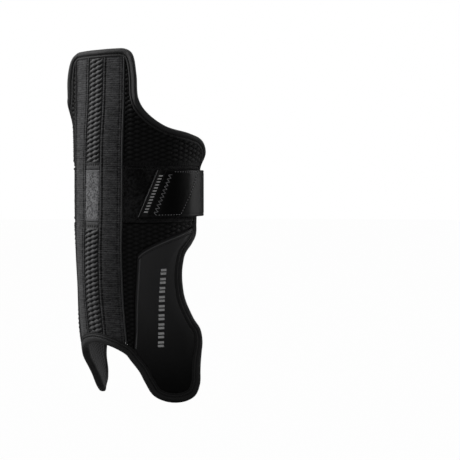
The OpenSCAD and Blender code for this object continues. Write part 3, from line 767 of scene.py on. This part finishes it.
# smooth coated ankle covers
for label, way in sides:
    grid = fillPatch(through(coverFront, np.linspace(0, 4, 101)),
                     rimRun(shape["heel"], coverHigh, ankleSkin, 100),
                     rimRun(coverFoot, shape["heel"], ankleSkin, 66),
                     through(coverTop, np.linspace(0, 3, 67)))
    s, z = grid[..., 0], grid[..., 1]
    room = edgeRoom(grid)
    up = (grid - grid[-1:, :])
    fromTop = np.hypot(up[..., 0], up[..., 1])
    front = coverLook["crown"] * ease(room / 16) - coverLook["tuck"] * np.exp(-room / 0.9) - 0.2
    front += 0.35 * hump(fromTop, 1.6, 0.9) - 0.35 * hump(fromTop, 4.0, 0.8)
    # painted light: the cover is lighter towards the top and darker towards the bottom, with a painted
    # highlight along its raised top edge
    paintedTopLight = ease((z - 5) / 160)
    shade = 0.05 + 0.85 * paintedTopLight + 0.3 * hump(fromTop, 1.5, 0.8)
    piece = makeWall("ankleCover_" + label, grid, front, -layers["skin"], np.clip(shade, 0, 1), way)
    finishPiece(piece, "ankle_cover", "guard", ["ankle_cover_" + label])
    topLine = grid[-1, 2:-2] - (0, 1.5)
    cord = zigzag(topLine, 0.25, 1.6, 0.55, 0.45, way, tone=0.3)
    below = topLine - (0, 3.0)
    holes = stitchRow(spot(below[:, 0] * way, below[:, 1], 0.28), 1.3, 1.5, 0.5, 0.0)
    frontLine = grid[3:-3, 0] + (2.4, 0)
    edgeSeam = zigzag(frontLine, 0.8, 2.6, 0.15, 0.24, way, tone=0.6)
    thread = newMesh("ankleCoverThread_" + label, *joinArrays(cord + edgeSeam))
    finishPiece(thread, "thread", "guard")
    dark = newMesh("ankleCoverStitches_" + label, *joinArrays(holes))
    finishPiece(dark, "thread_dark", "guard")
    step = (coverLook["barEnd"] - coverLook["barStart"]) / coverLook["bars"]
    bars = []
    for k in range(2 * coverLook["bars"]):
        z0 = coverLook["barStart"] + (k // 2 + 0.1 + 0.4 * (k % 2)) * step
        s0 = coverLook["barFront"] + (z0 - coverLook["barStart"]) * coverLook["barLean"]
        mark = frontGrid(s0, s0 + coverLook["barWide"], z0, z0 + step * 0.26, 0.7)
        bars.append(wallArrays(mark, coverLook["crown"] + 0.02 - 0.12 * np.exp(-edgeRoom(mark) / 0.4),
                               coverLook["crown"] - 0.5, 0.7, way))
    mark = newMesh("ankleCoverBars_" + label, *joinArrays(bars))
    finishPiece(mark, "print", "guard")
print("ankle covers done")

# lining with its small raised dots, and the foam
seamGap = 0.03                                                # left between neighbouring linings and foams
dotLook = {"across": 5.6, "up": 3.3, "wide": 2.0, "tall": 1.15, "rise": 0.5, "slant": 0.2}


def raisedDots(s, z, look):
    u = s / look["across"]
    v = (z - s * look["slant"]) / look["up"]
    du, dv = (u - np.round(u)) * look["across"], (v - np.round(v)) * look["up"]
    return np.exp(-((du / look["wide"]) ** 2) - (dv / look["tall"]) ** 2)


def makeLining(name, grid, way, node):
    s, z = grid[..., 0], grid[..., 1]
    dot = raisedDots(s, z, dotLook)
    room = edgeRoom(grid)
    back = liningBack - dotLook["rise"] * (dot - 0.5) + 0.5 * np.exp(-room / 0.8)
    piece = makeWall(name, grid, liningFront, back, 0.3, way)
    tone = np.zeros(len(piece.data.vertices), np.float32)
    tone[: s.size] = 0.3
    tone[s.size:] = np.clip(1.05 - 1.3 * dot, 0, 1).ravel()
    piece.data.attributes["shade"].data.foreach_set("value", tone)
    finishPiece(piece, "lining", "guard", [node])


outerStart = layers["sideStart"] - seamGap
liningStep, foamStep = {"shin": 1.05, "wing": 1.1, "ankle": 1.0}, 2.5
grid = frontGrid(-outerStart, outerStart, archZ, topZ, liningStep["shin"])
makeLining("shinLining", grid, 1, "shin_lining")
for label, way in sides:
    grid = wingGrid(layers["loopZ"][0] + seamGap, liningStep["wing"], tuckIn["lining"])
    makeLining("wingLining_" + label, grid, way, "wing_lining_" + label)
    grid = ankleGrid(layers["loopZ"][0], liningStep["ankle"], tuckIn["lining"])
    makeLining("ankleLining_" + label, grid, way, "ankle_lining_" + label)


def makeFoam(name, grid, way, node, top):
    room = edgeRoom(grid)
    rounded = 0.9 * np.exp(-room / 1.5)
    piece = makeWall(name, grid, top - rounded, foamBack + rounded, 0.5, way)
    finishPiece(piece, "foam", "guard", [node])


underSkin = -layers["skin"] - layers["gap"]
underShield = underSkin - layers["shield"] - layers["gap"]
grid = frontGrid(-outerStart, outerStart, archZ, topZ, foamStep)
makeFoam("shinFoam", grid, 1, "shin_foam", underShield)
for label, way in sides:
    grid = wingGrid(layers["loopZ"][0] + seamGap, foamStep, layers["wingIn"])
    makeFoam("wingFoam_" + label, grid, way, "wing_foam_" + label, underSkin)
    grid = ankleGrid(layers["loopZ"][0], foamStep, layers["ankleIn"])
    makeFoam("ankleFoam_" + label, grid, way, "ankle_foam_" + label, underShield)
for node in ("shin_shield", "ankle_cup_left", "ankle_cup_right"):
    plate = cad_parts[node]
    plate.data.materials.clear()
    plate.data.materials.append(materials["shield"])
print("lining and foam done")

# folded edge bindings
bindLook = {
    # inset from the edge, depth, tone: from the inner lip round the outside of the tape to the back; the tone
    # is painted shade in the grooves and painted highlights on the crowns, and on the lower binding also
    # along the back near its inner edge
    "upper": [(8.0, -0.9, 0.1), (7.5, -0.25, 0.3), (6.9, 0.25, 0.6), (6.3, 0.38, 0.7), (5.7, 0.2, 0.55),
              (5.2, -0.55, 0.08), (4.8, -0.7, 0.03), (4.4, -0.3, 0.2), (3.9, 0.4, 0.5), (3.0, 0.78, 0.62),
              (1.9, 0.82, 0.68), (0.8, 0.6, 0.7), (-0.3, -0.05, 0.68), (-1.0, -1.1, 0.62), (-1.3, -2.4, 0.55),
              (-1.3, -4.0, 0.5), (-1.0, -5.4, 0.5), (-0.3, -6.6, 0.5), (0.7, -7.4, 0.5), (2.0, -7.9, 0.5),
              (3.3, -8.2, 0.5), (4.0, -7.9, 0.15), (4.7, -8.3, 0.5), (5.6, -8.3, 0.55), (6.0, -7.8, 0.2),
              (6.4, -6.0, 0.2)],
    "lower": [(10.0, -0.9, 0.1), (9.6, -0.35, 0.25), (9.1, 0.05, 0.4), (8.6, -0.1, 0.3), (8.2, -0.6, 0.03),
              (7.8, -0.2, 0.3), (7.3, 0.35, 0.62), (6.7, 0.4, 0.66), (6.2, 0.1, 0.5), (5.7, -0.6, 0.04),
              (5.2, -0.1, 0.3), (4.4, 0.5, 0.5), (3.2, 0.8, 0.6), (1.9, 0.82, 0.66), (0.8, 0.55, 0.66),
              (-0.3, -0.1, 0.64), (-1.0, -1.2, 0.6), (-1.3, -2.5, 0.55), (-1.3, -4.1, 0.5), (-1.0, -5.6, 0.5),
              (-0.3, -6.8, 0.5), (0.8, -7.6, 0.5), (2.2, -8.0, 0.5), (3.4, -8.25, 0.5), (4.1, -7.95, 0.15),
              (4.8, -8.35, 0.9), (5.6, -8.35, 1.0), (6.0, -7.8, 0.4), (6.4, -6.0, 0.2)],
    "step": 1.5,
}


def evenStops(t0, t1, step):
    t = np.linspace(t0, t1, 1600)
    p = outline(t)
    reach = np.concatenate([[0], np.cumsum(np.linalg.norm(np.diff(p, axis=0), axis=1))])
    marks = np.linspace(0, reach[-1], int(reach[-1] / step) + 1)
    return np.interp(marks, reach, t), marks


def makeBinding(name, profile, stops, marks, ways, node):
    inset, depth, tone = (np.array(column) for column in zip(*profile))
    n, m = len(stops), len(profile)
    points = rim(np.repeat(stops[:, None], m, 1), np.broadcast_to(inset, (n, m)))
    s, z = points[..., 0] * ways[:, None], points[..., 1]
    pucker = 0.12 * np.sin(2 * math.pi * marks / 3.1)[:, None] * np.exp(-((inset - 4.9) / 1.4) ** 2)
    uneven = 0.25 * (blotch(marks[:, None] + 0 * s, inset + 0 * s, 9, 3, 51) - 0.5)
    verts = spot(s, z, depth + pucker + uneven * (np.abs(depth + 4) < 5)).reshape(-1, 3)
    idx = np.arange(n * m).reshape(n, m)
    nextCol = np.roll(idx, -1, 1)
    quads = np.stack([idx[:-1], nextCol[:-1], nextCol[1:], idx[1:]], -1).reshape(-1, 4)
    caps = [idx[0][::-1].tolist(), idx[-1].tolist()]
    faces = [f[::-1] for f in quads.tolist()] + caps
    around = np.concatenate([[0], np.cumsum(np.hypot(np.diff(inset), np.diff(depth)))])
    uv = np.stack([np.broadcast_to(marks[:, None], (n, m)), np.broadcast_to(around, (n, m))], -1)
    uv = uv.reshape(-1, 2) / 1000
    streak = 0.75 + 0.5 * blotch(marks[:, None] + 0 * s, around + 0 * s, 26, 6, 61)
    piece = newMesh(name, verts, faces, uv, (np.broadcast_to(tone, (n, m)) * streak).ravel(), len(faces) - 2)
    finishPiece(piece, "binding", "guard", [node])
    return piece, float(marks[-1]) / 1000, float(around[-1]) / 2000


upT, upMarks = evenStops(0.0, shape["wrist"] + 0.02, bindLook["step"])
lowT, lowMarks = evenStops(shape["wrist"], foot, bindLook["step"])
runs = {
    "upper": (np.concatenate([upT[::-1], upT[1:]]),
              np.concatenate([-upMarks[::-1], upMarks[1:]]) + upMarks[-1],
              np.concatenate([-np.ones(len(upT)), np.ones(len(upT) - 1)])),
    "lower": (np.concatenate([lowT, lowT[-2::-1]]),
              np.concatenate([lowMarks, 2 * lowMarks[-1] - lowMarks[-2::-1]]),
              np.concatenate([np.ones(len(lowT)), -np.ones(len(lowT) - 1)])),
}
seamLook = {"upper": {"in": 4.95, "rise": -0.28}, "lower": {"in": 5.75, "rise": -0.2}}
for label, seam in seamLook.items():
    stops, marks, ways = runs[label]
    name, node = label + "Binding", label + "_binding"
    piece, long, wide = makeBinding(name, bindLook[label], stops, marks, ways, node)
    line = rim(stops, np.full(len(stops), seam["in"]))
    path = spot(line[:, 0] * ways, line[:, 1], seam["rise"])
    thread = newMesh(label + "BindingThread", *joinArrays(stitchRow(path, 2.1, 1.0, 0.28, 0.5)))
    finishPiece(thread, "thread_dark", "guard")
print("bindings done")

# strap
strapLook = {
    "form": 255, "low": 201.5, "high": 251.5, "tipLow": 54.5, "tipHigh": 74.0,
    "hook": 0.65, "hookT": 0.9, "elastic": 1.5, "coverT": 0.9, "labelT": 1.0,
    "leftPivot": 140, "rightPivot": 135, "pivotHigh": 226.5,
    "sewn": 46, "sewnTo": 115, "hookEnd": 88,
}
elasticIn = strapLook["hook"] + strapLook["hookT"] + layers["gap"]
coverIn = elasticIn + strapLook["elastic"] + layers["gap"]
labelIn = coverIn + strapLook["coverT"] + layers["gap"]
strapForm = strapLook["form"]


def strapRound(degrees):
    # distance round the strap's section to the place that faces this way
    r1, r2 = formAt(np.array(float(strapForm)), 1), formAt(np.array(float(strapForm)), 3)
    a1, a2 = shape["shinTurn"], shape["sideTurn"]
    r3 = (r1 * math.sin(a1) + r2 * (math.sin(a2) - math.sin(a1))) / math.sin(a2)
    return float(r1 * a1 + r2 * (a2 - a1) + r3 * (math.radians(degrees) - a2))


def strapGrid(low0, high0, low1, high1, pull, step):
    z0, z1 = strapLook["low"] + pull, strapLook["high"] - pull
    rows = int((z1 - z0) / step)
    cols = int(max(low1 - low0, high1 - high0) / step)
    return fillPatch(along((low0, z0), (high0, z1), rows), along((low1, z0), (high1, z1), rows),
                     along((low0, z0), (low1, z0), cols), along((high0, z1), (high1, z1), cols))


def tapeDepth(grid, low, high, soft, only="z"):
    # rounded long edges for a tape between two depths
    z = grid[..., 1]
    room = np.minimum(z - z.min(), z.max() - z) if only == "z" else edgeRoom(grid)
    pinch = (high - low) * 0.36 * np.exp(-room / soft)
    return high - pinch, low + pinch


backMiddle = strapRound(180)
pivots = {"left": (strapRound(strapLook["leftPivot"]), -1), "right": (strapRound(strapLook["rightPivot"]), 1)}
elasticRun = {"left": (strapRound(strapLook["sewnTo"]) - strapLook["sewn"],) * 2,
              "right": (strapLook["tipLow"] + 4, strapLook["tipHigh"] + 4)}
for label, way in sides:
    start = elasticRun[label]
    grid = strapGrid(start[0], start[1], backMiddle, backMiddle, 0, 1.1)
    s, z = grid[..., 0], grid[..., 1]
    front, back = tapeDepth(grid, elasticIn, elasticIn + strapLook["elastic"], 0.9)
    cords = 0.5 + 0.5 * np.cos(2 * math.pi * z / 3.3)
    front = front + 0.10 * cords
    edgeBand = np.minimum(z - strapLook["low"], strapLook["high"] - z)
    shade = 0.35 + 0.2 * cords + 0.2 * blotch(s, z, 18, 2.2, 71) + 0.25 * hump(edgeBand, 2.2, 0.9)
    piece = makeWall("elastic_" + label, grid, front, back, shade, way, strapForm)
    pivot, pivotWay = pivots[label]
    mid = elasticIn + strapLook["elastic"] / 2
    pivotHigh = strapLook["pivotHigh"]
    ahead, behind = (spot((pivot + k * 5) * pivotWay, pivotHigh, mid, strapForm) for k in (-1, 1))
    piece.data.materials.append(materials["elastic"])
    if label == "left":
        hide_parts("strap_root", "strap_band")
        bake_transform(piece)
    else:
        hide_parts("strap_tail")
        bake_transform(piece)

# hook pad under the loose end
hookEnd = strapRound(strapLook["hookEnd"])
grid = strapGrid(strapLook["tipLow"] + 2, strapLook["tipHigh"] + 2, hookEnd, hookEnd, 2, 1.0)
front, back = tapeDepth(grid, strapLook["hook"], strapLook["hook"] + strapLook["hookT"], 0.5, "all")
waveS, waveZ = (0.5 + 0.5 * np.cos(2 * math.pi * grid[..., k] / 2) for k in (0, 1))
hooks = waveS * waveZ
piece = makeWall("hookPad", grid, front, back + 0.15 * hooks, 0.4, 1, strapForm)
finishPiece(piece, "hook", "strap_end", ["hook_pad"])

# stitched cover on the loose end
fieldLook = {"near": 15.0, "side": 18, "far": 43.0, "farLean": 0.63, "fromLow": 2.6, "fromHigh": 2.1,
             "dash": 1.7, "pitch": 4.2, "thread": 0.34}
coverEnd = strapRound(strapLook["rightPivot"]) - 8
grid = strapGrid(strapLook["tipLow"], strapLook["tipHigh"], coverEnd, coverEnd, 0, 0.9)
s, z = grid[..., 0], grid[..., 1]
tipGap = s - (strapLook["tipLow"] + (z - strapLook["low"]) * (strapLook["tipHigh"] - strapLook["tipLow"])
              / (strapLook["high"] - strapLook["low"]))
edgeBand = np.minimum(z - strapLook["low"], strapLook["high"] - z)
coverTopD = coverIn + strapLook["coverT"]
room = edgeRoom(grid)
front = coverTopD - 0.45 * np.exp(-room / 0.8)
front = front - 0.3 * hump(edgeBand, 2.6, 0.7) + 0.12 * hump(edgeBand, 1.0, 0.7)
front -= 0.25 * hump(tipGap, 16.5, 1.9)
patchEdge = fieldLook["far"] + (z - strapLook["low"]) * 0.24  # slanted end of the stitched field
front -= 0.3 * hump(tipGap, patchEdge, 0.8)
# painted highlight: the tape is lighter beyond the slanted end of the stitched field, towards the back where
# the rim light reaches it, with a thin painted highlight along both long edges
shade = 0.12 + 0.8 * ease((tipGap - patchEdge + 4) / 12) + 0.5 * hump(edgeBand, 0.9, 0.7)
back = np.maximum(coverIn, coverTopD - 0.85)
piece = makeWall("strapCover", grid, front, back, np.clip(shade, 0, 1), 1, strapForm)
finishPiece(piece, "strap_cover", "strap_end", ["strap_cover"])


def strapLine(offset, z0, z1, slope=None):
    # a line across the strap, this far from the slanted tip at its lower end
    z = np.linspace(z0, z1, 40)
    lean = (strapLook["tipHigh"] - strapLook["tipLow"]) / (strapLook["high"] - strapLook["low"])
    s0 = strapLook["tipLow"] + offset + (z - strapLook["low"]) * (lean if slope is None else slope)
    return np.stack([s0, z], -1)


def fieldSeam(line):
    path = spot(line[:, 0], line[:, 1], coverTopD + 0.1, strapForm)
    return stitchRow(path, fieldLook["dash"], fieldLook["dash"], fieldLook["thread"], 0.8)


lowZ, highZ = strapLook["low"] + fieldLook["fromLow"], strapLook["high"] - fieldLook["fromHigh"]
fieldEnd = strapLine(fieldLook["far"], lowZ, highZ, fieldLook["farLean"])
threads = zigzag(strapLine(fieldLook["near"], lowZ, highZ - 0.5), 2.0, fieldLook["pitch"],
                 coverTopD + 0.1, fieldLook["thread"], 1, strapForm, 0.8)
for z0, b in ((lowZ, fieldEnd[0][0]), (highZ, fieldEnd[-1][0])):
    a = strapLine(fieldLook["side"], z0, z0)[0][0]
    threads += fieldSeam(np.stack([np.linspace(a, b, 60), np.full(60, z0)], -1))
threads += fieldSeam(fieldEnd)
thread = newMesh("strapCoverThread", *joinArrays(threads))
finishPiece(thread, "thread", "strap_end")

# slanted pull tab with its pale edge line and plain bars
labelLook = {"wide": 9.6, "ahead": 1, "bars": 13, "barIn": 5, "barRun": 41, "barStart": 2.6, "barWide": 4.2,
             "barShare": 0.5}
labelLow, labelHigh = strapLook["tipLow"] - labelLook["ahead"], strapLook["tipHigh"] - labelLook["ahead"]
grid = strapGrid(labelLow, labelHigh, labelLow + labelLook["wide"], labelHigh + labelLook["wide"], -0.5, 0.5)
s, z = grid[..., 0], grid[..., 1]
front, back = tapeDepth(grid, labelIn, labelIn + strapLook["labelT"], 0.45, "all")
fromTip = s - (labelLow + (z - strapLook["low"]) * 0.39)
front = front + 0.25 * hump(fromTip, 1.0, 0.6) - 0.25 * hump(fromTip, 2.2, 0.5)
shade = 0.35 + 0.2 * hump(fromTip, 8.6, 0.8)
piece = makeWall("pullLabel", grid, front, back, np.clip(shade, 0, 1), 1, strapForm)
finishPiece(piece, "label", "strap_end", ["pull_label"])
lean = (strapLook["tipHigh"] - strapLook["tipLow"]) / 50
bars = []
labelTop = labelIn + strapLook["labelT"]
barPitch, barWide = labelLook["barRun"] / labelLook["bars"], labelLook["barWide"]
for k in range(labelLook["bars"]):
    z0 = strapLook["low"] + labelLook["barIn"] + k * labelLook["barRun"] / labelLook["bars"]
    z1 = z0 + barPitch * labelLook["barShare"]
    a, b = (strapLook["tipLow"] + labelLook["barStart"] + (at - strapLook["low"]) * lean for at in (z0, z1))
    mark = fillPatch(along((a, z0), (b, z1), 5), along((a + barWide, z0), (b + barWide, z1), 5),
                     along((a, z0), (a + barWide, z0), 6), along((b, z1), (b + barWide, z1), 6))
    top = labelTop + 0.16 - 0.2 * np.exp(-edgeRoom(mark) / 0.4)
    bars.append(wallArrays(mark, top, labelTop - 0.4, 0.6, 1, strapForm))
mark = newMesh("pullLabelBars", *joinArrays(bars))
finishPiece(mark, "print", "strap_end")
line = strapLine(0.0, strapLook["low"] + 0.4, strapLook["high"] - 0.4)
pale = fillPatch(line - (0.75, 0), line - (0.1, 0), along(line[0] - (0.75, 0), line[0] - (0.1, 0), 3),
                 along(line[-1] - (0.75, 0), line[-1] - (0.1, 0), 3))
edgeLine = newMesh("pullLabelEdge", *wallArrays(pale, labelTop + 0.22, labelTop - 0.4, 0.35, 1, strapForm))
finishPiece(edgeLine, "thread", "strap_end")

# reinforcement on the sewn end
start = strapRound(strapLook["sewnTo"]) - strapLook["sewn"] - 3
grid = strapGrid(start, start, start + strapLook["sewn"] - 4, start + strapLook["sewn"] - 4, 1, 0.9)
room = edgeRoom(grid)
front = coverTopD - 0.45 * np.exp(-room / 0.8) - 0.3 * hump(room, 2.6, 0.6)
# a thin painted highlight runs just inside the patch's rounded edge
piece = makeWall("strapAnchor", grid, front, coverIn, 0.4 + 0.3 * hump(room, 0.9, 0.7), -1, strapForm)
finishPiece(piece, "strap_cover", "guard", ["strap_anchor"])
a, b, z0, z1 = start + 2.6, start + strapLook["sewn"] - 6.6, strapLook["low"] + 3.6, strapLook["high"] - 3.6
box = [(a, z0), (b, z0), (b, z1), (a, z1), (a, z0), (b, z1), (b, z0), (a, z1)]
rows = []
for p, q in zip(box[:-1], box[1:]):
    line = along(p, q, 30)
    rows += stitchRow(spot(-line[:, 0], line[:, 1], coverTopD + 0.02, strapForm), 2.0, 0.9, 0.3, 0.5)
thread = newMesh("strapAnchorThread", *joinArrays(rows))
finishPiece(thread, "thread", "guard")
print("strap done")

# floor, light and camera
studio = {
    "floorSize": 6.0, "floorZ": -0.0012, "floorGrey": 0.25, "world": 0.02,
    "keyPower": 15.5, "fillPower": 2.7, "rimPower": 3.0, "topPower": 5.0,
    "azimuth": 44, "distance": 1.3, "eyeHeight": 0.2408, "lens": 91.2, "sensor": 36.0,
    # how far the leg's axis stands left of the middle and the horizon above it, in parts of the width
    "aside": 90 / 460, "above": 50 / 460,
}
bpy.ops.mesh.primitive_circle_add(vertices=96, radius=studio["floorSize"], fill_type="NGON",
                                  location=(0, 0, studio["floorZ"]))
floor = bpy.context.active_object
floor.name = "floor"
bpy.ops.object.transform_apply(location=True, rotation=True, scale=True)
floorMat = bpy.data.materials.new("paleFloor")
floorMat.use_nodes = True
tree = floorMat.node_tree
tree.nodes.clear()
out = tree.nodes.new("ShaderNodeOutputMaterial")
diffuse = tree.nodes.new("ShaderNodeBsdfDiffuse")
diffuse.inputs["Color"].default_value = (studio["floorGrey"],) * 3 + (1,)
glow = tree.nodes.new("ShaderNodeEmission")
glow.inputs["Color"].default_value = (1, 1, 1, 1)
mixer = tree.nodes.new("ShaderNodeMixShader")
path = tree.nodes.new("ShaderNodeLightPath")
share = mathNode(tree, "MULTIPLY", path.outputs["Is Camera Ray"], 0.985)
tree.links.new(share, mixer.inputs[0])
tree.links.new(diffuse.outputs[0], mixer.inputs[1])
tree.links.new(glow.outputs[0], mixer.inputs[2])
tree.links.new(mixer.outputs[0], out.inputs["Surface"])
floor.data.materials.append(floorMat)

world = bpy.data.worlds.new("studio")
bpy.context.scene.world = world
world.use_nodes = True
tree = world.node_tree
background = tree.nodes["Background"]
path = tree.nodes.new("ShaderNodeLightPath")
strength = mathNode(tree, "MULTIPLY_ADD", path.outputs["Is Camera Ray"], 1 - studio["world"], studio["world"])
background.inputs["Color"].default_value = (1, 1, 1, 1)
tree.links.new(strength, background.inputs["Strength"])

eye = math.radians(studio["azimuth"])
toCamera = Vector((math.sin(eye), -math.cos(eye), 0))
toRight = Vector((math.cos(eye), math.sin(eye), 0))
up = Vector((0, 0, 1))
middle = Vector((0, 0, 0.21))


def softBox(name, right, toward, rise, power, width, tall):
    data = bpy.data.lights.new(name, "AREA")
    data.shape = "RECTANGLE"
    data.size, data.size_y, data.energy = width, tall, power
    lamp = bpy.data.objects.new(name, data)
    lamp.location = middle + toRight * right + toCamera * toward + up * rise
    lamp.rotation_euler = (middle - lamp.location).to_track_quat("-Z", "Y").to_euler()
    bpy.context.scene.collection.objects.link(lamp)


softBox("keyLight", -1.3, -0.25, 0.85, studio["keyPower"], 0.6, 0.9)
softBox("fillLight", 0.35, 1.5, 0.5, studio["fillPower"], 1.2, 1.2)
softBox("rimLight", 1.15, -0.55, 0.3, studio["rimPower"], 0.35, 1.0)
softBox("topLight", 0.0, -0.2, 1.4, studio["topPower"], 0.8, 0.8)

cameraData = bpy.data.cameras.new("camera")
cameraData.lens = studio["lens"]
cameraData.sensor_width = studio["sensor"]
camera = bpy.data.objects.new("camera", cameraData)
bpy.context.scene.collection.objects.link(camera)
place = toCamera * studio["distance"] + up * studio["eyeHeight"]
focal = studio["lens"] / studio["sensor"]
yaw, pitch = math.atan(studio["aside"] / focal), math.atan(studio["above"] / focal)
look = -toCamera * math.cos(yaw) + toRight * math.sin(yaw)
aim = look * math.cos(pitch) - up * math.sin(pitch)
camera.location = place
camera.rotation_euler = aim.to_track_quat("-Z", "Y").to_euler()
bpy.context.scene.camera = camera
bpy.context.scene.view_settings.view_transform = "Standard"
print("studio done")
